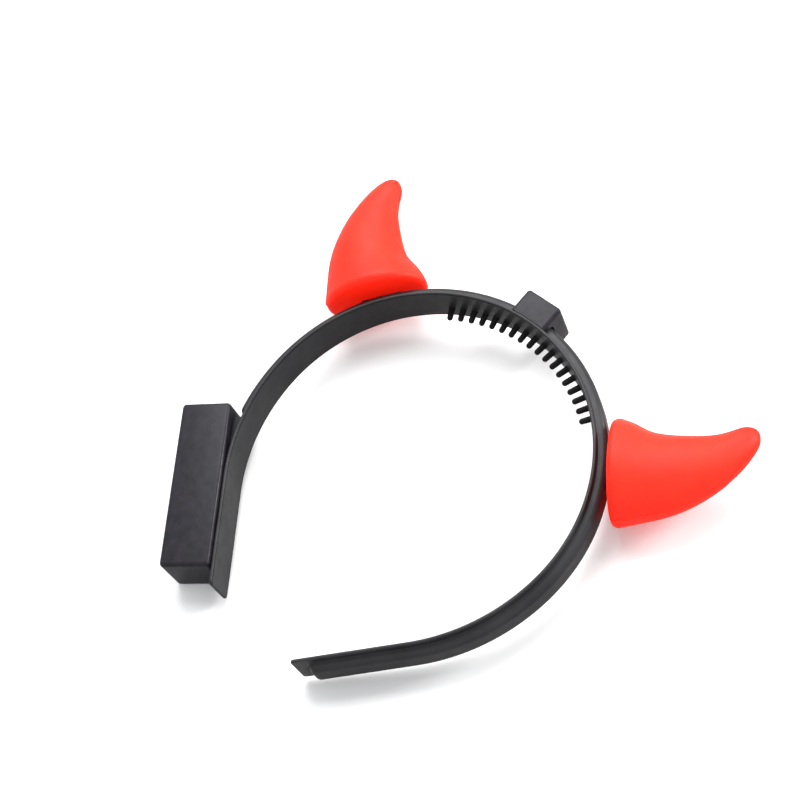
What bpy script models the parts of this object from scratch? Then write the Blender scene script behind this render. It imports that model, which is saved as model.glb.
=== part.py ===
"""Devil horns headband: a toothed plastic hair band with two curved horns, a small box at the
crown and a battery box on the end of its left arm.

It is drawn with the hoop in the XY plane: +X towards the arm called right, +Y from the open ends
to the crown and +Z out of the front face. An empty then carries all its pieces and lays it on its
back, the way it lies on a table, with +Z up.
"""
import bpy
import bmesh
import math
from mathutils import Matrix, Vector

# Hoop, measured along the inner face of the band
HOOP_RADIUS = 0.0664               # round part over the head
CROWN_ANGLE = math.radians(94.0)   # half angle of the round part, from the crown
CHEEK_RADIUS = 0.0747              # wider arc below it
TAIL_ANGLE = math.radians(130.5)   # angle from the crown at which the straight ends begin
TAIL_LENGTH = 0.0418               # straight end of each arm

# Band section, with heights measured from its inner face
BAND_WIDTH = 0.0167
BAND_THICKNESS = 0.0012
TIP_CORNER = 0.0016
RIB_WIDTH = 0.0110                 # raised rib on the outer side
RIB_HEIGHT = 0.0048
RIB_ROUND = 0.0024
RIB_END_RIGHT = 0.0055             # flat end of the right arm, where the rib has stopped
RIB_END_LEFT = 0.0675              # the same on the left arm, under the battery box

# Comb teeth
TOOTH_COUNT = 18
TOOTH_PITCH = 0.00451
TOOTH_LENGTH = 0.0050              # from the inner face
TOOTH_SET_BACK = 0.0030            # from the middle of the band towards its back edge
TOOTH_DIAMETER = 0.0020
TOOTH_DOME = 0.0005
TOOTH_SIDES = 10

# Gap between pieces that touch
GAP = 0.0003

# Horns, each the same on both arms
HORN_ANGLE = math.radians(51.5)        # from the crown
HORN_SHIFT_ANGLE = math.radians(-1.9)  # both sit this far round towards the left arm
HORN_OFFSET = 0.0032                   # middle of the base, down the arm from that angle
HORN_LENGTH = 0.0497
HORN_WIDTH = 0.0400                    # base, along the band
HORN_DEPTH = 0.0311                    # base, front to back
HORN_RIM_ROUND = 0.0030
HORN_WALL = 0.0018
HORN_SIDES = 32
TIP_RING = 0.0002                      # radius at which the rounded tip closes

# Seats that carry the horns
SEAT_THICKNESS = 0.0004                # over the top of the rib
SEAT_LENGTH = 0.0160
SEAT_WIDTH = 0.0050
SEAT_CORNER = 0.0010
SEAT_OFFSET = 0.0020                   # middle of the seat, down the arm from the horn's angle
POST_HOLE_DIAMETER = 0.0044
POST_HEIGHT = 0.0060
POST_SIDES = 24

# Crown box
CROWN_BOX_ANGLE = math.radians(-3.8)
CROWN_BOX_LENGTH = 0.0157
CROWN_BOX_HEIGHT = 0.0111              # from the inner face of the band
CROWN_BOX_DEPTH = 0.0192               # from the front edge of the band to the back
CROWN_BOX_ROUND = 0.0014

# Battery box
BATTERY_BOX_LENGTH = 0.0645
BATTERY_BOX_THICKNESS = 0.0192
BATTERY_BOX_DEPTH = 0.0200
BATTERY_BOX_FROM_TIP = 0.0063
BATTERY_BOX_ROUND = 0.0016
BATTERY_FOOT_WIDTH = 0.0100
BATTERY_FOOT_FROM_TOP = 0.0040
BATTERY_FOOT_START = 0.0047            # from the end of the straight, up the arm

# Fineness of the surfaces
EDGE_STEPS = 3
RIB_STEPS = 4
RIM_STEPS = 4
DOME_STEPS = 2
HORN_RING_STEPS = 3
DISC_SIDES = 240
TOLERANCE = 1e-6
SHARP_ANGLE = math.radians(35.0)
HORN_SHARP_ANGLE = math.radians(50.0)
SETTLE_STEPS = 4                       # facets tried, one after another, to find the one it lies on

# Horn stations: share of its length, sideways shift as a share of the base width, half width as a
# share of half the base width
HORN_STATIONS = (
    (-0.10, 0.020, 1.11),
    (0.03, 0.027, 1.01),
    (0.12, 0.043, 0.93),
    (0.25, 0.058, 0.81),
    (0.40, 0.046, 0.735),
    (0.60, -0.016, 0.595),
    (0.78, -0.111, 0.425),
    (0.91, -0.235, 0.293),
    (0.985, -0.334, 0.205),
    (1.00, -0.355, 0.02),
)

# Plastics: colour and roughness
BAND_PLASTIC = ((0.022, 0.021, 0.026), 0.42)
CASE_PLASTIC = ((0.030, 0.029, 0.036), 0.48)
SEAT_PLASTIC = ((0.018, 0.017, 0.020), 0.55)
HORN_PLASTIC = ((0.92, 0.055, 0.030), 0.38)

RIGHT = 1
LEFT = -1


def clear_scene():
    for item in list(bpy.data.objects):
        bpy.data.objects.remove(item, do_unlink=True)


def new_collection(name):
    collection = bpy.data.collections.new(name)
    bpy.context.scene.collection.children.link(collection)
    return collection


def finish(item, plastic, sharp_angle=SHARP_ANGLE):
    """Give a piece a material of its own and smooth shading over its gentle edges."""
    colour, roughness = plastic
    material = bpy.data.materials.new(item.name)
    material.use_nodes = True
    shader = material.node_tree.nodes["Principled BSDF"]
    shader.inputs["Base Color"].default_value = (*colour, 1.0)
    shader.inputs["Roughness"].default_value = roughness
    shader.inputs["Metallic"].default_value = 0.0
    material.diffuse_color = (*colour, 1.0)
    item.data.materials.clear()
    item.data.materials.append(material)
    item.data.shade_smooth()
    item.data.set_sharp_from_angle(angle=sharp_angle)


def add_object(name, bm, collection):
    """New object from a bmesh, with its faces pointing out."""
    bmesh.ops.recalc_face_normals(bm, faces=bm.faces)
    mesh = bpy.data.meshes.new(name)
    bm.to_mesh(mesh)
    bm.free()
    item = bpy.data.objects.new(name, mesh)
    collection.objects.link(item)
    return item


def evaluated_mesh(item):
    bpy.context.view_layer.update()
    evaluated = item.evaluated_get(bpy.context.evaluated_depsgraph_get())
    return bpy.data.meshes.new_from_object(evaluated)


def boolean(target, cutter, operation):
    """Apply one exact Boolean to target and drop the cutter."""
    modifier = target.modifiers.new(operation.lower(), "BOOLEAN")
    modifier.operation = operation
    modifier.solver = "EXACT"
    modifier.object = cutter
    mesh = evaluated_mesh(target)
    target.modifiers.clear()
    target.data = mesh
    bpy.data.objects.remove(cutter, do_unlink=True)


def box(name, low, high, collection, round_edges=None, radius=0.0, steps=EDGE_STEPS):
    """Box between two corners. round_edges picks the edges to round from their two ends."""
    low = Vector(low)
    high = Vector(high)
    place = Matrix.Translation((low + high) / 2) @ Matrix.Diagonal((*(high - low), 1.0))
    bm = bmesh.new()
    bmesh.ops.create_cube(bm, size=1.0, matrix=place)
    if round_edges:
        chosen = [e for e in bm.edges if round_edges(e.verts[0].co, e.verts[1].co)]
        bmesh.ops.bevel(bm, geom=chosen, offset=radius, segments=steps, profile=0.5,
                        affect="EDGES")
    return add_object(name, bm, collection)


def round_bar(name, diameter, low, high, shift, collection):
    """Upright round bar: its axis is local y."""
    bm = bmesh.new()
    bmesh.ops.create_cone(bm, cap_ends=True, segments=POST_SIDES, radius1=diameter / 2,
                          radius2=diameter / 2, depth=high - low)
    turn = Matrix.Rotation(math.radians(-90.0), 4, "X")
    bm.transform(Matrix.Translation((shift, (low + high) / 2, 0.0)) @ turn)
    return add_object(name, bm, collection)


def disc(name, radius, centre, collection):
    """Flat disc about local z, wider than the band: a cutter that stands for the round of the band."""
    bm = bmesh.new()
    bmesh.ops.create_cone(bm, cap_ends=True, segments=DISC_SIDES, radius1=radius, radius2=radius,
                          depth=2 * BAND_WIDTH)
    bm.transform(Matrix.Translation(centre))
    return add_object(name, bm, collection)


def sagitta(half_chord, radius):
    """How far a round falls away from its tangent at half_chord to the side."""
    return radius - math.sqrt(radius ** 2 - half_chord ** 2)


def half_length():
    """Length of the inner face from the crown to one end."""
    return (HOOP_RADIUS * CROWN_ANGLE
            + CHEEK_RADIUS * (TAIL_ANGLE - CROWN_ANGLE)
            + TAIL_LENGTH)


def radial(angle):
    """Outward direction at an angle from the crown, towards the right arm."""
    return Vector((math.sin(angle), math.cos(angle), 0.0))


def along(angle):
    """Direction from the crown down the right arm."""
    return Vector((math.cos(angle), -math.sin(angle), 0.0))


def hoop_centre():
    return Vector((0.0, -HOOP_RADIUS, 0.0))


def cheek_centre():
    return hoop_centre() + radial(CROWN_ANGLE) * (HOOP_RADIUS - CHEEK_RADIUS)


def hoop_point(distance):
    """Point on the inner face and the angle there, at a distance from the crown. The left arm has
    negative distances."""
    side = LEFT if distance < 0.0 else RIGHT
    run = abs(distance)
    crown_run = HOOP_RADIUS * CROWN_ANGLE
    cheek_run = CHEEK_RADIUS * (TAIL_ANGLE - CROWN_ANGLE)
    if run <= crown_run:
        angle = run / HOOP_RADIUS
        point = hoop_centre() + radial(angle) * HOOP_RADIUS
    elif run <= crown_run + cheek_run:
        angle = CROWN_ANGLE + (run - crown_run) / CHEEK_RADIUS
        point = cheek_centre() + radial(angle) * CHEEK_RADIUS
    else:
        angle = TAIL_ANGLE
        start = cheek_centre() + radial(angle) * CHEEK_RADIUS
        point = start + along(angle) * (run - crown_run - cheek_run)
    point.x *= side
    return point, angle * side


def frame_at(origin, x_axis, y_axis):
    """Placement with the given axes, and z square to both."""
    frame = Matrix.Identity(4)
    frame.col[0][:3] = x_axis
    frame.col[1][:3] = y_axis
    frame.col[2][:3] = x_axis.cross(y_axis)
    frame.translation = origin
    return frame


def arm_frame(side, angle, height, shift=0.0):
    """Placement on the round part: local x runs down the arm and y outwards. Local z is the front
    on the right arm and the back on the left one, so a piece that is alike front and back is
    mirrored by it."""
    down = along(angle)
    out = radial(angle)
    origin = hoop_centre() + out * (HOOP_RADIUS + height) + down * shift
    for vector in (down, out, origin):
        vector.x *= side
    return frame_at(origin, down, out)


def horn_angle(side):
    """Angle of a horn down its own arm."""
    return HORN_ANGLE + side * HORN_SHIFT_ANGLE


def wrap_on_hoop(mesh):
    """Bend a straight bar onto the hoop: x becomes the distance from the crown, y the height over
    the inner face, and z stays."""
    for vertex in mesh.vertices:
        point, angle = hoop_point(vertex.co.x)
        vertex.co = point + radial(angle) * vertex.co.y + Vector((0.0, 0.0, vertex.co.z))


def slice_across(mesh):
    """Cut the straight bar across midway between its teeth, so that it bends smoothly."""
    bm = bmesh.new()
    bm.from_mesh(mesh)
    cuts = int(half_length() / TOOTH_PITCH)
    first = -cuts + (TOOTH_COUNT % 2) / 2
    for index in range(2 * cuts + 1):
        place = (first + index) * TOOTH_PITCH
        geometry = bm.verts[:] + bm.edges[:] + bm.faces[:]
        bmesh.ops.bisect_plane(bm, geom=geometry, dist=TOLERANCE, plane_co=(place, 0.0, 0.0),
                               plane_no=(1.0, 0.0, 0.0))
    bm.to_mesh(mesh)
    bm.free()


def straight_strip(collection):
    """Flat strip of the band, with its four corners rounded."""
    length = half_length()
    return box("headband", (-length, 0.0, -BAND_WIDTH / 2), (length, BAND_THICKNESS, BAND_WIDTH / 2),
               collection, lambda a, b: abs(a.y - b.y) > TOLERANCE, TIP_CORNER)


def straight_rib(collection):
    """Raised rib, rounded everywhere but underneath, where it sinks halfway into the strip."""
    length = half_length()
    return box("rib", (-length + RIB_END_LEFT, BAND_THICKNESS / 2, -RIB_WIDTH / 2),
               (length - RIB_END_RIGHT, RIB_HEIGHT, RIB_WIDTH / 2), collection,
               lambda a, b: max(a.y, b.y) > RIB_HEIGHT - TOLERANCE, RIB_ROUND, RIB_STEPS)


def straight_tooth(place, collection):
    """One round tooth with a domed end, rooted halfway into the strip."""
    radius = TOOTH_DIAMETER / 2
    root = BAND_THICKNESS / 2
    bar = TOOTH_LENGTH + root
    bm = bmesh.new()
    bmesh.ops.create_cone(bm, cap_ends=True, segments=TOOTH_SIDES, radius1=radius, radius2=radius,
                          depth=bar)
    end = [e for e in bm.edges if all(v.co.z > 0.0 for v in e.verts)]
    bmesh.ops.bevel(bm, geom=end, offset=TOOTH_DOME, segments=DOME_STEPS, profile=0.5,
                    affect="EDGES")
    turn = Matrix.Rotation(math.radians(90.0), 4, "X")
    bm.transform(Matrix.Translation((place, root - bar / 2, -TOOTH_SET_BACK)) @ turn)
    return add_object("tooth", bm, collection)


def make_headband(collection, cutters):
    """Strip, rib and teeth as one moulded piece, made straight and then bent onto the hoop."""
    band = straight_strip(collection)
    boolean(band, straight_rib(cutters), "UNION")
    for index in range(TOOTH_COUNT):
        place = (index - (TOOTH_COUNT - 1) / 2) * TOOTH_PITCH
        boolean(band, straight_tooth(place, cutters), "UNION")
    slice_across(band.data)
    wrap_on_hoop(band.data)
    finish(band, BAND_PLASTIC)
    return band


def horn_form(name, collection, shrink, floor, end):
    """Curved tapering form from a spine with a radius at each station, flattened front to back and
    cut level at floor. shrink comes off its half width, and end is a share of its length."""
    curve = bpy.data.curves.new(name, "CURVE")
    curve.dimensions = "3D"
    curve.twist_mode = "Z_UP"
    curve.bevel_depth = 1.0
    curve.bevel_resolution = HORN_SIDES // 4 - 2
    curve.use_fill_caps = True
    curve.resolution_u = HORN_RING_STEPS
    spline = curve.splines.new("NURBS")
    spline.points.add(len(HORN_STATIONS) - 1)
    spline.order_u = 4
    spline.use_endpoint_u = True
    for point, (share, shift, half_width) in zip(spline.points, HORN_STATIONS):
        point.co = (shift * HORN_WIDTH, share * end * HORN_LENGTH, 0.0, 1.0)
        point.radius = max(half_width * HORN_WIDTH / 2 - shrink, TIP_RING)
    source = bpy.data.objects.new(name, curve)
    collection.objects.link(source)
    bm = bmesh.new()
    bm.from_mesh(evaluated_mesh(source))
    bpy.data.objects.remove(source, do_unlink=True)
    bmesh.ops.remove_doubles(bm, verts=bm.verts, dist=TOLERANCE)
    for vertex in bm.verts:
        vertex.co.z *= HORN_DEPTH / HORN_WIDTH
    geometry = bm.verts[:] + bm.edges[:] + bm.faces[:]
    bmesh.ops.bisect_plane(bm, geom=geometry, dist=TOLERANCE, plane_co=(0.0, floor, 0.0),
                           plane_no=(0.0, 1.0, 0.0), clear_inner=True)
    bmesh.ops.holes_fill(bm, edges=[e for e in bm.edges if e.is_boundary])
    return bm


def make_horn(name, side, collection, cutters):
    """Hollow horn with a flat base, a rounded rim and a hole for the post of its seat."""
    form = horn_form(name, cutters, 0.0, 0.0, 1.0)
    rim = [e for e in form.edges if all(abs(v.co.y) < TOLERANCE for v in e.verts)]
    bmesh.ops.bevel(form, geom=rim, offset=HORN_RIM_ROUND, segments=RIM_STEPS, profile=0.5,
                    affect="EDGES", clamp_overlap=True)
    horn = add_object(name, form, collection)
    hollow = horn_form("hollow", cutters, HORN_WALL, HORN_WALL, 1.0 - 2 * HORN_WALL / HORN_LENGTH)
    boolean(horn, add_object("hollow", hollow, cutters), "DIFFERENCE")
    hole = round_bar("hole", POST_HOLE_DIAMETER, -HORN_WALL, 2 * HORN_WALL,
                     SEAT_OFFSET - HORN_OFFSET, cutters)
    boolean(horn, hole, "DIFFERENCE")
    base_level = RIB_HEIGHT + GAP + SEAT_THICKNESS + GAP
    horn.matrix_world = arm_frame(side, horn_angle(side), base_level, HORN_OFFSET)
    finish(horn, HORN_PLASTIC, HORN_SHARP_ANGLE)
    return horn


def make_seat(name, side, collection, cutters):
    """Saddle between the round rib and the flat base of a horn, with the post that holds it."""
    rib_top = HOOP_RADIUS + RIB_HEIGHT
    low = -2 * sagitta(SEAT_OFFSET + SEAT_LENGTH / 2, rib_top)
    seat = box(name, (SEAT_OFFSET - SEAT_LENGTH / 2, low, -SEAT_WIDTH / 2),
               (SEAT_OFFSET + SEAT_LENGTH / 2, SEAT_THICKNESS, SEAT_WIDTH / 2), collection,
               lambda a, b: abs(a.y - b.y) > TOLERANCE, SEAT_CORNER)
    post = round_bar("post", POST_HOLE_DIAMETER - 2 * GAP, 0.0, SEAT_THICKNESS + POST_HEIGHT,
                     SEAT_OFFSET, cutters)
    boolean(seat, post, "UNION")
    frame = arm_frame(side, horn_angle(side), RIB_HEIGHT + GAP)
    rib_space = disc("rib_space", rib_top + GAP, frame.inverted() @ hoop_centre(), cutters)
    boolean(seat, rib_space, "DIFFERENCE")
    seat.matrix_world = frame
    finish(seat, SEAT_PLASTIC)
    return seat


def make_crown_box(collection, cutters):
    """Small box astride the rib at the crown, flush with the band in front and standing out a
    little behind. Its underside follows the strip and its channel follows the rib."""
    half = CROWN_BOX_LENGTH / 2
    strip_round = HOOP_RADIUS + BAND_THICKNESS + GAP
    low = BAND_THICKNESS + GAP - 2 * sagitta(half, strip_round)
    case = box("crown_box", (-half, low, BAND_WIDTH / 2 - CROWN_BOX_DEPTH),
               (half, CROWN_BOX_HEIGHT, BAND_WIDTH / 2), collection,
               lambda a, b: max(a.y, b.y) > CROWN_BOX_HEIGHT - TOLERANCE, CROWN_BOX_ROUND)
    channel = box("channel", (-CROWN_BOX_LENGTH, -RIB_HEIGHT, -RIB_WIDTH / 2 - GAP),
                  (CROWN_BOX_LENGTH, RIB_HEIGHT + GAP, RIB_WIDTH / 2 + GAP), cutters,
                  lambda a, b: min(a.y, b.y) > RIB_HEIGHT, RIB_ROUND, RIB_STEPS)
    boolean(case, channel, "DIFFERENCE")
    frame = arm_frame(RIGHT, CROWN_BOX_ANGLE, 0.0)
    strip_space = disc("strip_space", strip_round, frame.inverted() @ hoop_centre(), cutters)
    boolean(case, strip_space, "DIFFERENCE")
    case.matrix_world = frame
    finish(case, CASE_PLASTIC)
    return case


def make_battery_box(collection, cutters):
    """Long case on the straight end of the left arm, with a foot that fills the space to the arm
    where it bends away. Local x runs up the arm from its end, and y outwards."""
    tip, _ = hoop_point(half_length())
    up = -along(TAIL_ANGLE)
    out = radial(TAIL_ANGLE)
    for vector in (tip, up, out):
        vector.x *= LEFT
    frame = frame_at(tip, up, out)
    seat = BAND_THICKNESS + GAP
    far = BATTERY_BOX_FROM_TIP + BATTERY_BOX_LENGTH
    case = box("battery_box", (BATTERY_BOX_FROM_TIP, seat, -BATTERY_BOX_DEPTH / 2),
               (far, seat + BATTERY_BOX_THICKNESS, BATTERY_BOX_DEPTH / 2), collection,
               lambda a, b: True, BATTERY_BOX_ROUND)
    foot_end = far - BATTERY_FOOT_FROM_TOP
    arm_round = CHEEK_RADIUS + seat
    low = seat - 2 * sagitta(foot_end - TAIL_LENGTH, arm_round)
    foot = box("foot", (TAIL_LENGTH + BATTERY_FOOT_START, low, -BATTERY_FOOT_WIDTH / 2),
               (foot_end, seat + BATTERY_BOX_ROUND, BATTERY_FOOT_WIDTH / 2), cutters)
    arm_middle = Vector((TAIL_LENGTH, -CHEEK_RADIUS, 0.0))
    boolean(foot, disc("arm_space", arm_round, arm_middle, cutters), "DIFFERENCE")
    boolean(case, foot, "UNION")
    case.matrix_world = frame
    finish(case, CASE_PLASTIC)
    return case


def volume_and_moment(mesh, place):
    """Volume of a closed mesh, and its centre of volume multiplied by that volume."""
    mesh.calc_loop_triangles()
    corners = [place @ v.co for v in mesh.vertices]
    volume = 0.0
    moment = Vector()
    for triangle in mesh.loop_triangles:
        a, b, c = (corners[i] for i in triangle.vertices)
        share = a.dot(b.cross(c)) / 6
        volume += share
        moment += share * (a + b + c) / 4
    return volume, moment


def resting_normal(faces, centre):
    """Normal of the hull facet under the centre: first the facet straight below, then each time
    the one that a line from the centre along the last normal leaves through."""
    down = Vector((0.0, 0.0, -1.0))
    for _ in range(SETTLE_STEPS):
        ahead = [f for f in faces if f.normal.dot(down) > TOLERANCE]
        facet = min(ahead, key=lambda f: (f.verts[0].co - centre).dot(f.normal)
                    / f.normal.dot(down))
        down = facet.normal.copy()
    return down


def lay_down(items, collection):
    """Carry the pieces on an empty, turned so that the hull facet under their centre is level and
    moved so that the middle of their bounding box is over the origin."""
    bpy.context.view_layer.update()
    hull = bmesh.new()
    volume = 0.0
    moment = Vector()
    for item in items:
        item_volume, item_moment = volume_and_moment(item.data, item.matrix_world)
        volume += item_volume
        moment += item_moment
        for vertex in item.data.vertices:
            hull.verts.new(item.matrix_world @ vertex.co)
    centre = moment / volume
    bmesh.ops.convex_hull(hull, input=hull.verts)
    bmesh.ops.recalc_face_normals(hull, faces=hull.faces)
    down = resting_normal(hull.faces, centre)
    turn = down.rotation_difference(Vector((0.0, 0.0, -1.0))).to_matrix().to_4x4()
    corners = [turn @ v.co for v in hull.verts]
    hull.free()
    low = [min(c[i] for c in corners) for i in range(3)]
    high = [max(c[i] for c in corners) for i in range(3)]
    shift = Matrix.Translation((-(low[0] + high[0]) / 2, -(low[1] + high[1]) / 2, -low[2]))
    carrier = bpy.data.objects.new("laid_down", None)
    collection.objects.link(carrier)
    carrier.matrix_world = shift @ turn
    for item in items:
        item.parent = carrier


def main():
    clear_scene()
    parts = new_collection("devil_horns_headband")
    cutters = new_collection("cutters")
    pieces = [
        make_headband(parts, cutters),
        make_crown_box(parts, cutters),
        make_battery_box(parts, cutters),
        make_seat("horn_seat_left", LEFT, parts, cutters),
        make_seat("horn_seat_right", RIGHT, parts, cutters),
        make_horn("horn_left", LEFT, parts, cutters),
        make_horn("horn_right", RIGHT, parts, cutters),
    ]
    lay_down(pieces, parts)


main()
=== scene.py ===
"""Looks of the devil horns headband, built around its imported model.

Shapes are drawn with the hoop in the XY plane, +Y towards the crown and +Z out of the front, and
then carried to where the headband lies on its back. Lengths are in metres.
"""

import math

import bmesh
import bpy
from mathutils import Matrix, Vector


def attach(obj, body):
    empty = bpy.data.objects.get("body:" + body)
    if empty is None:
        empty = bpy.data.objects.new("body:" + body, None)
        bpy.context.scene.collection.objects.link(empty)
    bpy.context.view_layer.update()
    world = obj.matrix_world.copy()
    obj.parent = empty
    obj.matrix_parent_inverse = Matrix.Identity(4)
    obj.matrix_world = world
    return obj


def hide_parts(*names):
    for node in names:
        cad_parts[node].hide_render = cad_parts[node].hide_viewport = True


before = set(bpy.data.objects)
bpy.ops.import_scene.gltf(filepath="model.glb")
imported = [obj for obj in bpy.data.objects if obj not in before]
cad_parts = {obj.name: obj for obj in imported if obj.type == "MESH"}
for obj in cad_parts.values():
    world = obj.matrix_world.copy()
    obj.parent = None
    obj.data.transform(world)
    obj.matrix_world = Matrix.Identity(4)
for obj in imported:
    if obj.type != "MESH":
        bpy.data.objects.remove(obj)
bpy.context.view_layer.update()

# Hoop
HOOP_RADIUS = 0.0664
CROWN_ANGLE = math.radians(94.0)
CHEEK_RADIUS = 0.0747
TAIL_ANGLE = math.radians(130.5)
TAIL_LENGTH = 0.0418

# Band section
BAND_WIDTH = 0.0167
BAND_THICKNESS = 0.0012
BAND_EDGE = 0.00045
MOULD_LINE_WIDTH = 0.00035
MOULD_LINE_DEPTH = 0.00030
TIP_CORNER = 0.0016
RIB_WIDTH = 0.0110
RIB_HEIGHT = 0.0048
RIB_ROUND = 0.0024
RIB_FILLET = 0.0004
RIB_DRAFT = 0.00015
RIB_LEAST_ROUND = 0.0002
RIB_END_RIGHT = 0.0055
RIB_END_LEFT = 0.0675

# Places along the band: their even step, the least distance between two, and how far past the
# rib's end the first plain section lies
BAND_STEP = 0.0011
LEAST_STEP = 0.00003
RIB_END_STEP = 0.00004

# Comb teeth
TOOTH_COUNT = 18
TOOTH_PITCH = 0.00451
TOOTH_LENGTH = 0.0050
TOOTH_SET_BACK = 0.0030
TOOTH_RADIUS = 0.00118
TOOTH_END_RADIUS = 0.00110
TOOTH_FLARE = 0.0003
TOOTH_SIDES = 20
TOOTH_ROUND_STEPS = 6

GAP = 0.0003

# Horns. TIP_ROUNDINGS is how often the part past HORN_TIP_SHARE of the length is smoothed.
HORN_ANGLE = math.radians(51.5)
HORN_SHIFT_ANGLE = math.radians(-1.9)
HORN_OFFSET = 0.0032
HORN_LENGTH = 0.0497
HORN_WIDTH = 0.0400
HORN_DEPTH = 0.0311
HORN_RIM_ROUND = 0.0030
HORN_WALL = 0.0018
TIP_RING = 0.0002
HORN_TRIM = 0.00015
HORN_TIP_SHARE = 0.80
TIP_ROUNDINGS = 4
HORN_SIDES = 80
HORN_STEPS = 8
HOLLOW_SIDES = 32
HOLLOW_STEPS = 3

# Horn seam: how far in front of the horn's middle it lies at the base, how much nearer it comes
# for each length along the horn, and the share of its width that is flat on top
SEAM_HEIGHT = 0.00040
SEAM_HALF_WIDTH = 0.00040
SEAM_FLAT = 0.3
SEAM_FORWARD = 0.0031
SEAM_LEAN = 0.036

# Seats
SEAT_THICKNESS = 0.0004
SEAT_LENGTH = 0.0160
SEAT_WIDTH = 0.0050
SEAT_CORNER = 0.0010
SEAT_OFFSET = 0.0020
POST_HOLE_DIAMETER = 0.0044
POST_HEIGHT = 0.0060

# Crown box
CROWN_BOX_ANGLE = math.radians(-3.8)
CROWN_BOX_LENGTH = 0.0157
CROWN_BOX_HEIGHT = 0.0111
CROWN_BOX_DEPTH = 0.0192
CROWN_BOX_ROUND = 0.0014
CROWN_BOX_SEAM = 0.00005

# Battery box
BATTERY_BOX_LENGTH = 0.0645
BATTERY_BOX_THICKNESS = 0.0192
BATTERY_BOX_DEPTH = 0.0200
BATTERY_BOX_FROM_TIP = 0.0063
BATTERY_BOX_ROUND = 0.0016
BATTERY_FOOT_WIDTH = 0.0100
BATTERY_FOOT_FROM_TOP = 0.0040
BATTERY_FOOT_START = 0.0047

# How it lies: the direction under it in the hoop's frame, and the hoop frame's origin
DOWN = Vector((0.0015261, -0.0469487, -0.9988961))
PLACE = Vector((0.0023799, 0.0666683, 0.0170868))

# Camera, in the hoop's frame
CAMERA_PLACE = Vector((0.3032, -0.1493, 0.5925))
CAMERA_RIGHT = Vector((0.6755, 0.6911, -0.2570))
CAMERA_UP = Vector((-0.5618, 0.7082, 0.4276))
CAMERA_LENS = 84.0
CAMERA_SENSOR = 36.0
CAMERA_NEAR = 0.01

# Studio: how white the floor looks, how much light it throws back, and the sky's two ends
FLOOR_SIZE = 3.0
FLOOR_SEEN = 1.00
FLOOR_BOUNCE = 0.48
FLOOR_ROUGHNESS = 0.9
FLOOR_SHINE = 0.1
SKY_COLOUR = (0.98, 0.99, 1.0, 1.0)
SKY_LOW = 0.58
SKY_HIGH = 1.00

# Lights: name, place, size, power
LIGHTS = (
    ("key", (-0.45, 0.50, 0.90), 0.9, 14.0),
    ("fill", (0.75, -0.35, 0.60), 0.8, 1.0),
    ("rim", (0.42, 0.83, 0.40), 0.25, 7.0),
)

# Plastics: the range of the noise that their tones and their gloss follow, how much finer the gloss
# patches are, how many times wider than deep the moulded grain is, how far red, green and blue
# light travel in one that glows through, and how strong its painted glow is, which lightens its
# shade
TONE_LOW = 0.34
TONE_HIGH = 0.66
TONE_DETAIL = 4.0
GLOSS_LOW = 0.3
GLOSS_HIGH = 0.7
GLOSS_DETAIL = 5.0
GLOSS_FINER = 3
GRAIN_STRENGTH = 0.25
GRAIN_DETAIL = 2.0
GRAIN_TO_DEPTH = 6
PAINTED_GLOW_STRENGTH = 0.45
GLOW_DEPTHS = (0.003, 0.0004, 0.00025)

# Steps of a quarter round, sides of the round tools, and the angles above which an edge is sharp
ROUND_STEPS = 8
SMALL_ROUND_STEPS = 4
BOX_ROUND_STEPS = 6
BAR_SIDES = 48
DISC_SIDES = 360
SHARP_DEGREES = 40.0
BOX_SHARP_DEGREES = 30.0
HORN_SHARP_DEGREES = 30.0

TOLERANCE = 1e-6
RIGHT = 1
LEFT = -1

# Horn stations: share of its length, sideways shift as a share of the base width, half width as a
# share of half the base width
HORN_STATIONS = (
    (-0.10, 0.020, 1.11),
    (0.03, 0.027, 1.01),
    (0.12, 0.043, 0.93),
    (0.25, 0.058, 0.81),
    (0.40, 0.046, 0.735),
    (0.60, -0.016, 0.595),
    (0.78, -0.111, 0.425),
    (0.91, -0.235, 0.293),
    (0.985, -0.334, 0.205),
    (1.00, -0.355, 0.02),
)

LAID_DOWN = (Matrix.Translation(PLACE)
             @ DOWN.rotation_difference(Vector((0.0, 0.0, -1.0))).to_matrix().to_4x4())


# Plastics

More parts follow.
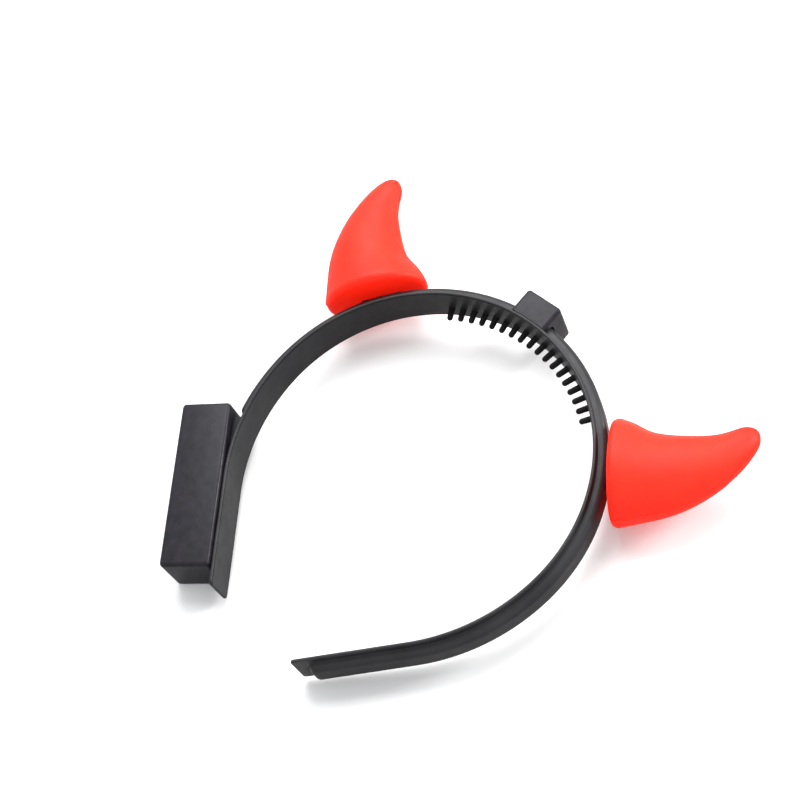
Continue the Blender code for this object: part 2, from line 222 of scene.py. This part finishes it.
def moulded_plastic(name, light, dark, shine, roughness, spread, blotch, grain, translucency_and_painted_glow=0.0):
    """Moulded plastic: two close tones in soft blotches, uneven gloss and a fine moulded grain,
    and, for one that glows through, light passing through it and a painted glow, an emission in its
    darker tone that lightens its shade. blotch and grain are the sizes of the patches and of the
    grain."""
    material = bpy.data.materials.new(name)
    material.use_nodes = True
    nodes = material.node_tree.nodes
    link = material.node_tree.links.new
    shader = nodes["Principled BSDF"]
    shader.inputs["Metallic"].default_value = 0.0
    shader.inputs["Specular IOR Level"].default_value = shine
    # Painted glow: emission in the darker tone lightens the plastic's shaded parts. The subsurface
    # below is light really passing through.
    shader.inputs["Emission Color"].default_value = (*dark, 1.0)
    shader.inputs["Emission Strength"].default_value = translucency_and_painted_glow * PAINTED_GLOW_STRENGTH
    shader.inputs["Subsurface Weight"].default_value = translucency_and_painted_glow
    shader.inputs["Subsurface Radius"].default_value = GLOW_DEPTHS
    shader.inputs["Subsurface Scale"].default_value = 1.0
    place = nodes.new("ShaderNodeTexCoord")

    def noise(size, detail):
        texture = nodes.new("ShaderNodeTexNoise")
        texture.inputs["Scale"].default_value = 1.0 / size
        texture.inputs["Detail"].default_value = detail
        link(place.outputs["Object"], texture.inputs["Vector"])
        return texture.outputs["Fac"]

    tone = nodes.new("ShaderNodeValToRGB")
    tone.color_ramp.elements[0].position = TONE_LOW
    tone.color_ramp.elements[1].position = TONE_HIGH
    tone.color_ramp.elements[0].color = (*dark, 1.0)
    tone.color_ramp.elements[1].color = (*light, 1.0)
    link(noise(blotch, TONE_DETAIL), tone.inputs["Fac"])
    link(tone.outputs["Color"], shader.inputs["Base Color"])

    gloss = nodes.new("ShaderNodeMapRange")
    gloss.inputs["From Min"].default_value = GLOSS_LOW
    gloss.inputs["From Max"].default_value = GLOSS_HIGH
    gloss.inputs["To Min"].default_value = roughness - spread
    gloss.inputs["To Max"].default_value = roughness + spread
    link(noise(blotch / GLOSS_FINER, GLOSS_DETAIL), gloss.inputs["Value"])
    link(gloss.outputs["Result"], shader.inputs["Roughness"])

    bump = nodes.new("ShaderNodeBump")
    bump.inputs["Strength"].default_value = GRAIN_STRENGTH
    bump.inputs["Distance"].default_value = grain / GRAIN_TO_DEPTH
    link(noise(grain, GRAIN_DETAIL), bump.inputs["Height"])
    link(bump.outputs["Normal"], shader.inputs["Normal"])
    return material


# Mesh helpers

def new_piece(name, bm):
    bmesh.ops.recalc_face_normals(bm, faces=bm.faces)
    mesh = bpy.data.meshes.new(name)
    bm.to_mesh(mesh)
    bm.free()
    piece = bpy.data.objects.new(name, mesh)
    bpy.context.scene.collection.objects.link(piece)
    return piece


def evaluated_mesh(piece):
    bpy.context.view_layer.update()
    evaluated = piece.evaluated_get(bpy.context.evaluated_depsgraph_get())
    return bpy.data.meshes.new_from_object(evaluated)


def boolean(target, cutter, operation):
    modifier = target.modifiers.new(operation.lower(), "BOOLEAN")
    modifier.operation = operation
    modifier.solver = "EXACT"
    modifier.object = cutter
    mesh = evaluated_mesh(target)
    target.modifiers.clear()
    target.data = mesh
    bpy.data.objects.remove(cutter, do_unlink=True)


def join_rings(bm, rings):
    """Faces between rings of equally many points, each to the next."""
    for here, there in zip(rings, rings[1:]):
        for index in range(len(here)):
            after = (index + 1) % len(here)
            bm.faces.new((here[index], here[after], there[after], there[index]))


def dress(piece, placement, material, node, sharp_degrees=SHARP_DEGREES):
    """Carry a piece to its place, shade it and hide the imported node it stands for."""
    piece.data.transform(LAID_DOWN @ placement)
    piece.data.materials.clear()
    piece.data.materials.append(material)
    piece.data.shade_smooth()
    piece.data.set_sharp_from_angle(angle=math.radians(sharp_degrees))
    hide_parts(node)
    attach(piece, "root")


def box(name, low, high, round_edges=None, radius=0.0):
    """Box between two corners. round_edges says of an edge's two ends whether it is rounded."""
    low = Vector(low)
    high = Vector(high)
    place = Matrix.Translation((low + high) / 2) @ Matrix.Diagonal((*(high - low), 1.0))
    bm = bmesh.new()
    bmesh.ops.create_cube(bm, size=1.0, matrix=place)
    if round_edges:
        chosen = [e for e in bm.edges if round_edges(e.verts[0].co, e.verts[1].co)]
        bmesh.ops.bevel(bm, geom=chosen, offset=radius, segments=BOX_ROUND_STEPS, profile=0.5,
                        affect="EDGES")
    return new_piece(name, bm)


def upright_bar(name, diameter, low, high, shift):
    bm = bmesh.new()
    bmesh.ops.create_cone(bm, cap_ends=True, segments=BAR_SIDES, radius1=diameter / 2,
                          radius2=diameter / 2, depth=high - low)
    turn = Matrix.Rotation(math.radians(-90.0), 4, "X")
    bm.transform(Matrix.Translation((shift, (low + high) / 2, 0.0)) @ turn)
    return new_piece(name, bm)


def disc(name, radius, centre):
    bm = bmesh.new()
    bmesh.ops.create_cone(bm, cap_ends=True, segments=DISC_SIDES, radius1=radius, radius2=radius,
                          depth=2 * BAND_WIDTH)
    bm.transform(Matrix.Translation(centre))
    return new_piece(name, bm)


def fall(radius, run):
    """How far a round of that radius has fallen away after run."""
    run = min(max(run, 0.0), radius)
    return radius - math.sqrt(radius ** 2 - run ** 2)


# Hoop

def half_length():
    return (HOOP_RADIUS * CROWN_ANGLE
            + CHEEK_RADIUS * (TAIL_ANGLE - CROWN_ANGLE)
            + TAIL_LENGTH)


def radial(angle):
    return Vector((math.sin(angle), math.cos(angle), 0.0))


def along(angle):
    return Vector((math.cos(angle), -math.sin(angle), 0.0))


def hoop_centre():
    return Vector((0.0, -HOOP_RADIUS, 0.0))


def hoop_point(distance):
    side = LEFT if distance < 0.0 else RIGHT
    run = abs(distance)
    crown_run = HOOP_RADIUS * CROWN_ANGLE
    cheek_run = CHEEK_RADIUS * (TAIL_ANGLE - CROWN_ANGLE)
    cheek_centre = hoop_centre() + radial(CROWN_ANGLE) * (HOOP_RADIUS - CHEEK_RADIUS)
    if run <= crown_run:
        angle = run / HOOP_RADIUS
        point = hoop_centre() + radial(angle) * HOOP_RADIUS
    elif run <= crown_run + cheek_run:
        angle = CROWN_ANGLE + (run - crown_run) / CHEEK_RADIUS
        point = cheek_centre + radial(angle) * CHEEK_RADIUS
    else:
        angle = TAIL_ANGLE
        start = cheek_centre + radial(angle) * CHEEK_RADIUS
        point = start + along(angle) * (run - crown_run - cheek_run)
    point.x *= side
    return point, angle * side


def frame_at(origin, x_axis, y_axis):
    placement = Matrix.Identity(4)
    placement.col[0][:3] = x_axis
    placement.col[1][:3] = y_axis
    placement.col[2][:3] = x_axis.cross(y_axis)
    placement.translation = origin
    return placement


def arm_frame(side, angle, height, shift=0.0):
    down = along(angle)
    out = radial(angle)
    origin = hoop_centre() + out * (HOOP_RADIUS + height) + down * shift
    for vector in (down, out, origin):
        vector.x *= side
    return frame_at(origin, down, out)


def horn_angle(side):
    return HORN_ANGLE + side * HORN_SHIFT_ANGLE


# Band

def arc(z, y, radius, start, end, steps):
    """Points of a round about (z, y), between two angles in degrees."""
    points = []
    for index in range(steps + 1):
        angle = math.radians(start + (end - start) * index / steps)
        points.append((z + radius * math.cos(angle), y + radius * math.sin(angle)))
    return points


def band_section(place):
    """Outline (z, y) of the band across, at a place along it: strip with a fine mould line near
    each inner edge, fillets and rounded rib."""
    length = half_length()
    from_tip = length - abs(place)
    half = BAND_WIDTH / 2 - fall(TIP_CORNER, TIP_CORNER - from_tip)
    squeeze = 1.0 - fall(BAND_EDGE, BAND_EDGE - from_tip) / (BAND_THICKNESS / 2)
    rib_end = RIB_END_RIGHT if place > 0.0 else RIB_END_LEFT
    inside = from_tip - rib_end
    drop = fall(RIB_ROUND, RIB_ROUND - inside)
    top = RIB_HEIGHT - drop
    rib = RIB_WIDTH / 2 - drop
    edge = half - BAND_EDGE
    inner = edge - MOULD_LINE_WIDTH
    right = [(half / 2, 0.0), (inner, 0.0), (inner, MOULD_LINE_DEPTH), (edge, MOULD_LINE_DEPTH)]
    right += arc(edge, BAND_EDGE, BAND_EDGE, -90.0, 0.0, SMALL_ROUND_STEPS)
    right += arc(edge, BAND_THICKNESS - BAND_EDGE, BAND_EDGE, 0.0, 90.0, SMALL_ROUND_STEPS)
    raised = arc(rib + RIB_FILLET, BAND_THICKNESS + RIB_FILLET, RIB_FILLET, 270.0, 180.0,
                 SMALL_ROUND_STEPS)
    shoulder = min(RIB_ROUND, max(top - BAND_THICKNESS - RIB_FILLET, RIB_LEAST_ROUND))
    flat = rib - RIB_DRAFT - shoulder
    raised += arc(flat, top - shoulder, shoulder, 0.0, 90.0, ROUND_STEPS)
    raised += [(flat / 2, top)]
    if inside < 0.0:
        raised = [(z, BAND_THICKNESS) for z, _ in raised]
    right += raised
    left = [(-z, y) for z, y in reversed(right)]
    loop = [(0.0, 0.0)] + right + [(0.0, raised[-1][1])] + left
    middle = BAND_THICKNESS / 2
    return [(z, middle + (y - middle) * squeeze) for z, y in loop]


def band_places():
    """Places along the band: even steps, and close ones where its ends and the rib's ends round."""
    length = half_length()
    places = set()
    count = int(2 * length / BAND_STEP)
    for index in range(count + 1):
        places.add(-length + 2 * length * index / count)
    for side, rib_end in ((RIGHT, RIB_END_RIGHT), (LEFT, RIB_END_LEFT)):
        for index in range(ROUND_STEPS + 1):
            bend = math.radians(90.0 * index / ROUND_STEPS)
            places.add(side * (length - TIP_CORNER * (1.0 - math.sin(bend))))
            places.add(side * (length - rib_end - RIB_ROUND * (1.0 - math.sin(bend))))
        for index in range(1, SMALL_ROUND_STEPS):
            places.add(side * (length - BAND_EDGE * index / SMALL_ROUND_STEPS))
        places.add(side * (length - rib_end + RIB_END_STEP))
    ordered = sorted(places)
    kept = [ordered[0]]
    for place in ordered[1:]:
        if place - kept[-1] > LEAST_STEP:
            kept.append(place)
    return kept


def make_band(material):
    bm = bmesh.new()
    rings = []
    for place in band_places():
        point, angle = hoop_point(place)
        out = radial(angle)
        rings.append([bm.verts.new(point + out * y + Vector((0.0, 0.0, z)))
                      for z, y in band_section(place)])
    join_rings(bm, rings)
    bm.faces.new(rings[0])
    bm.faces.new(list(reversed(rings[-1])))
    dress(new_piece("band", bm), Matrix.Identity(4), material, "headband")


def tooth_profile():
    """Radius and height of a tooth from its root in the band to its domed tip."""
    bends = [math.radians(90.0 * index / TOOTH_ROUND_STEPS)
             for index in range(TOOTH_ROUND_STEPS + 1)]
    points = [(TOOTH_RADIUS, BAND_THICKNESS / 2)]
    for bend in bends:
        points.append((TOOTH_RADIUS + TOOTH_FLARE * (1.0 - math.sin(bend)),
                       -TOOTH_FLARE * (1.0 - math.cos(bend))))
    for bend in bends:
        points.append((TOOTH_END_RADIUS * math.cos(bend),
                       -(TOOTH_LENGTH - TOOTH_END_RADIUS * (1.0 - math.sin(bend)))))
    return points


def make_teeth(material):
    bm = bmesh.new()
    profile = tooth_profile()
    turns = [2 * math.pi * side / TOOTH_SIDES for side in range(TOOTH_SIDES)]
    for number in range(TOOTH_COUNT):
        point, angle = hoop_point((number - (TOOTH_COUNT - 1) / 2) * TOOTH_PITCH)
        point.z = -TOOTH_SET_BACK
        out = radial(angle)
        down = along(angle)
        rings = [[bm.verts.new(point + out * height + down * (radius * math.cos(turn))
                               + Vector((0.0, 0.0, radius * math.sin(turn))))
                  for turn in turns]
                 for radius, height in profile[:-1]]
        tip = bm.verts.new(point + out * profile[-1][1])
        join_rings(bm, rings)
        last = rings[-1]
        for here, there in zip(last, last[1:] + last[:1]):
            bm.faces.new((here, there, tip))
        bm.faces.new(rings[0])
    dress(new_piece("comb_teeth", bm), Matrix.Identity(4), material, "headband")


# Horns

def horn_form(name, shrink, floor, end, sides, steps):
    """Closed horn along its stations, shrunk all round, from the level floor to a share of the
    horn's length."""
    curve = bpy.data.curves.new(name, "CURVE")
    curve.dimensions = "3D"
    curve.twist_mode = "Z_UP"
    curve.bevel_depth = 1.0
    curve.bevel_resolution = sides // 4 - 2
    curve.use_fill_caps = True
    curve.resolution_u = steps
    spline = curve.splines.new("NURBS")
    spline.points.add(len(HORN_STATIONS) - 1)
    spline.order_u = 4
    spline.use_endpoint_u = True
    for point, (share, shift, half_width) in zip(spline.points, HORN_STATIONS):
        point.co = (shift * HORN_WIDTH, share * end * HORN_LENGTH, 0.0, 1.0)
        point.radius = max(half_width * HORN_WIDTH / 2 - shrink, TIP_RING)
    source = bpy.data.objects.new(name, curve)
    bpy.context.scene.collection.objects.link(source)
    bm = bmesh.new()
    bm.from_mesh(evaluated_mesh(source))
    bpy.data.objects.remove(source, do_unlink=True)
    bmesh.ops.remove_doubles(bm, verts=bm.verts, dist=TOLERANCE)
    for vertex in bm.verts:
        vertex.co.z *= HORN_DEPTH / HORN_WIDTH
    cut(bm, (0.0, floor, 0.0), (0.0, 1.0, 0.0), True)
    bmesh.ops.holes_fill(bm, edges=[e for e in bm.edges if e.is_boundary])
    return bm


def cut(bm, point, normal, clear=False):
    geometry = bm.verts[:] + bm.edges[:] + bm.faces[:]
    bmesh.ops.bisect_plane(bm, geom=geometry, dist=TOLERANCE, plane_co=point, plane_no=normal,
                           clear_inner=clear)


def make_horn(name, side, material, node):
    """Hollow horn: rounded rim at its base, and a low raised seam where its halves meet, a little
    in front of its middle."""
    bm = horn_form(name, HORN_TRIM, 0.0, 1.0, HORN_SIDES, HORN_STEPS)
    tip = [v for v in bm.verts if v.co.y > HORN_TIP_SHARE * HORN_LENGTH]
    for _ in range(TIP_ROUNDINGS):
        bmesh.ops.smooth_vert(bm, verts=tip, factor=0.5, use_axis_x=True, use_axis_y=True,
                              use_axis_z=True)
    for index in range(1, ROUND_STEPS + 1):
        level = HORN_RIM_ROUND * (1.0 - math.cos(math.radians(90.0 * index / ROUND_STEPS)))
        cut(bm, (0.0, level, 0.0), (0.0, 1.0, 0.0))
    for share in (-1.0, -SEAM_FLAT, SEAM_FLAT, 1.0):
        cut(bm, (0.0, 0.0, side * (SEAM_FORWARD + share * SEAM_HALF_WIDTH)),
            (0.0, side * SEAM_LEAN, 1.0))
    bm.normal_update()
    from_seam = [side * v.co.z + SEAM_LEAN * v.co.y - SEAM_FORWARD for v in bm.verts]
    rises = [float(abs(distance) < SEAM_HALF_WIDTH / 2) for distance in from_seam]
    for vertex, rise in zip(bm.verts, rises):
        height = vertex.co.y
        if height > TOLERANCE:
            vertex.co += vertex.normal * (SEAM_HEIGHT * rise)
        if height < HORN_RIM_ROUND:
            middle = Vector((HORN_STATIONS[1][1] * HORN_WIDTH, height, 0.0))
            inward = middle - vertex.co
            vertex.co += inward.normalized() * fall(HORN_RIM_ROUND, HORN_RIM_ROUND - height)
    horn = new_piece(name, bm)
    hollow = horn_form("hollow", HORN_WALL, HORN_WALL, 1.0 - 2 * HORN_WALL / HORN_LENGTH,
                       HOLLOW_SIDES, HOLLOW_STEPS)
    boolean(horn, new_piece("hollow", hollow), "DIFFERENCE")
    hole = upright_bar("hole", POST_HOLE_DIAMETER, -HORN_WALL, 2 * HORN_WALL,
                       SEAT_OFFSET - HORN_OFFSET)
    boolean(horn, hole, "DIFFERENCE")
    base_level = RIB_HEIGHT + GAP + SEAT_THICKNESS + GAP
    dress(horn, arm_frame(side, horn_angle(side), base_level, HORN_OFFSET), material,
          node, HORN_SHARP_DEGREES)


def make_seat(name, side, material, node):
    rib_top = HOOP_RADIUS + RIB_HEIGHT
    low = -2 * fall(rib_top, SEAT_OFFSET + SEAT_LENGTH / 2)
    seat = box(name, (SEAT_OFFSET - SEAT_LENGTH / 2, low, -SEAT_WIDTH / 2),
               (SEAT_OFFSET + SEAT_LENGTH / 2, SEAT_THICKNESS, SEAT_WIDTH / 2),
               lambda a, b: abs(a.y - b.y) > TOLERANCE, SEAT_CORNER)
    boolean(seat, upright_bar("post", POST_HOLE_DIAMETER - 2 * GAP, 0.0,
                              SEAT_THICKNESS + POST_HEIGHT, SEAT_OFFSET), "UNION")
    placement = arm_frame(side, horn_angle(side), RIB_HEIGHT + GAP)
    boolean(seat, disc("rib_space", rib_top + GAP, placement.inverted() @ hoop_centre()),
            "DIFFERENCE")
    dress(seat, placement, material, node)


def make_crown_box(material):
    half = CROWN_BOX_LENGTH / 2
    strip_round = HOOP_RADIUS + BAND_THICKNESS + CROWN_BOX_SEAM
    low = BAND_THICKNESS - 2 * fall(strip_round, half)
    case = box("crown_case", (-half, low, BAND_WIDTH / 2 - CROWN_BOX_DEPTH),
               (half, CROWN_BOX_HEIGHT, BAND_WIDTH / 2),
               lambda a, b: max(a.y, b.y) > CROWN_BOX_HEIGHT - TOLERANCE, CROWN_BOX_ROUND)
    channel = box("channel", (-CROWN_BOX_LENGTH, -RIB_HEIGHT, -RIB_WIDTH / 2 - CROWN_BOX_SEAM),
                  (CROWN_BOX_LENGTH, RIB_HEIGHT + GAP, RIB_WIDTH / 2 + CROWN_BOX_SEAM),
                  lambda a, b: min(a.y, b.y) > RIB_HEIGHT, RIB_ROUND)
    boolean(case, channel, "DIFFERENCE")
    placement = arm_frame(RIGHT, CROWN_BOX_ANGLE, 0.0)
    boolean(case, disc("strip_space", strip_round, placement.inverted() @ hoop_centre()),
            "DIFFERENCE")
    dress(case, placement, material, "crown_box", BOX_SHARP_DEGREES)


def make_battery_box(material):
    tip, _ = hoop_point(half_length())
    up = -along(TAIL_ANGLE)
    out = radial(TAIL_ANGLE)
    for vector in (tip, up, out):
        vector.x *= LEFT
    seat = BAND_THICKNESS + GAP
    far = BATTERY_BOX_FROM_TIP + BATTERY_BOX_LENGTH
    case = box("battery_case", (BATTERY_BOX_FROM_TIP, seat, -BATTERY_BOX_DEPTH / 2),
               (far, seat + BATTERY_BOX_THICKNESS, BATTERY_BOX_DEPTH / 2),
               lambda a, b: True, BATTERY_BOX_ROUND)
    foot_end = far - BATTERY_FOOT_FROM_TOP
    arm_round = CHEEK_RADIUS + seat
    low = seat - 2 * fall(arm_round, foot_end - TAIL_LENGTH)
    foot = box("foot", (TAIL_LENGTH + BATTERY_FOOT_START, low, -BATTERY_FOOT_WIDTH / 2),
               (foot_end, seat + BATTERY_BOX_ROUND, BATTERY_FOOT_WIDTH / 2))
    boolean(foot, disc("arm_space", arm_round, Vector((TAIL_LENGTH, -CHEEK_RADIUS, 0.0))),
            "DIFFERENCE")
    boolean(case, foot, "UNION")
    dress(case, frame_at(tip, up, out), material, "battery_box",
          BOX_SHARP_DEGREES)


# Studio

def add_camera():
    right = CAMERA_RIGHT.normalized()
    up = (CAMERA_UP - right * CAMERA_UP.dot(right)).normalized()
    pose = Matrix.Identity(4)
    pose.col[0][:3] = right
    pose.col[1][:3] = up
    pose.col[2][:3] = right.cross(up)
    pose.translation = CAMERA_PLACE
    data = bpy.data.cameras.new("camera")
    data.lens = CAMERA_LENS
    data.sensor_width = CAMERA_SENSOR
    data.clip_start = CAMERA_NEAR
    camera = bpy.data.objects.new("camera", data)
    camera.matrix_world = LAID_DOWN @ pose
    bpy.context.scene.collection.objects.link(camera)
    bpy.context.scene.camera = camera


def add_light(name, place, size, power):
    data = bpy.data.lights.new(name, "AREA")
    data.size = size
    data.energy = power
    light = bpy.data.objects.new(name, data)
    light.location = place
    light.rotation_euler = (-Vector(place)).to_track_quat("-Z", "Y").to_euler()
    bpy.context.scene.collection.objects.link(light)


def add_studio():
    """White floor, which looks brighter than it lights, with the sky and the lights."""
    bm = bmesh.new()
    bmesh.ops.create_grid(bm, x_segments=1, y_segments=1, size=FLOOR_SIZE)
    floor = new_piece("floor", bm)
    material = bpy.data.materials.new("floor")
    material.use_nodes = True
    nodes = material.node_tree.nodes
    shader = nodes["Principled BSDF"]
    shader.inputs["Roughness"].default_value = FLOOR_ROUGHNESS
    shader.inputs["Specular IOR Level"].default_value = FLOOR_SHINE
    ray = nodes.new("ShaderNodeLightPath")
    whiteness = nodes.new("ShaderNodeMapRange")
    whiteness.inputs["To Min"].default_value = FLOOR_BOUNCE
    whiteness.inputs["To Max"].default_value = FLOOR_SEEN
    material.node_tree.links.new(ray.outputs["Is Camera Ray"], whiteness.inputs["Value"])
    material.node_tree.links.new(whiteness.outputs["Result"], shader.inputs["Base Color"])
    floor.data.materials.append(material)
    add_sky()
    for name, place, size, power in LIGHTS:
        add_light(name, place, size, power)
    bpy.context.scene.view_settings.view_transform = "Standard"


def add_sky():
    """Even white sky, brighter towards the top of the picture."""
    world = bpy.data.worlds.new("studio")
    bpy.context.scene.world = world
    world.use_nodes = True
    nodes = world.node_tree.nodes
    link = world.node_tree.links.new
    place = nodes.new("ShaderNodeTexCoord")
    height = nodes.new("ShaderNodeVectorMath")
    height.operation = "DOT_PRODUCT"
    height.inputs[1].default_value = LAID_DOWN.to_3x3() @ CAMERA_UP
    link(place.outputs["Generated"], height.inputs[0])
    strength = nodes.new("ShaderNodeMapRange")
    strength.inputs["From Min"].default_value = -1.0
    strength.inputs["To Min"].default_value = SKY_LOW
    strength.inputs["To Max"].default_value = SKY_HIGH
    link(height.outputs["Value"], strength.inputs["Value"])
    link(strength.outputs["Result"], nodes["Background"].inputs["Strength"])
    nodes["Background"].inputs["Color"].default_value = SKY_COLOUR


BAND = moulded_plastic("band_plastic", (0.025, 0.024, 0.026), (0.015, 0.014, 0.016), shine=0.30,
                       roughness=0.40, spread=0.06, blotch=0.014, grain=0.00035)
# Painted shade: the teeth, moulded with the band, get a darker and duller copy of its plastic for
# the shade they lie in under the band.
TOOTH_PAINTED_SHADE = moulded_plastic("tooth_painted_shade_plastic", (0.012, 0.012, 0.013), (0.008, 0.008, 0.009), shine=0.12,
                        roughness=0.50, spread=0.05, blotch=0.014, grain=0.00035)
CASE = moulded_plastic("case_plastic", (0.019, 0.017, 0.023), (0.011, 0.010, 0.014), shine=0.22,
                       roughness=0.36, spread=0.06, blotch=0.0035, grain=0.00045)
SEAT = moulded_plastic("seat_plastic", (0.010, 0.009, 0.011), (0.006, 0.006, 0.007), shine=0.20,
                       roughness=0.55, spread=0.05, blotch=0.006, grain=0.00035)
# The horns' glow is partly light passing through them and partly a painted glow, an emission that
# lightens their shade.
HORN = moulded_plastic("horn_plastic", (0.98, 0.023, 0.006), (0.96, 0.016, 0.004), shine=0.26,
                       roughness=0.52, spread=0.05, blotch=0.016, grain=0.00060, translucency_and_painted_glow=0.80)

make_band(BAND)
make_teeth(TOOTH_PAINTED_SHADE)
make_crown_box(CASE)
make_battery_box(CASE)
make_seat("seat_left", LEFT, SEAT, "horn_seat_left")
make_seat("seat_right", RIGHT, SEAT, "horn_seat_right")
make_horn("horn_shell_left", LEFT, HORN, "horn_left")
make_horn("horn_shell_right", RIGHT, HORN, "horn_right")
add_studio()
add_camera()
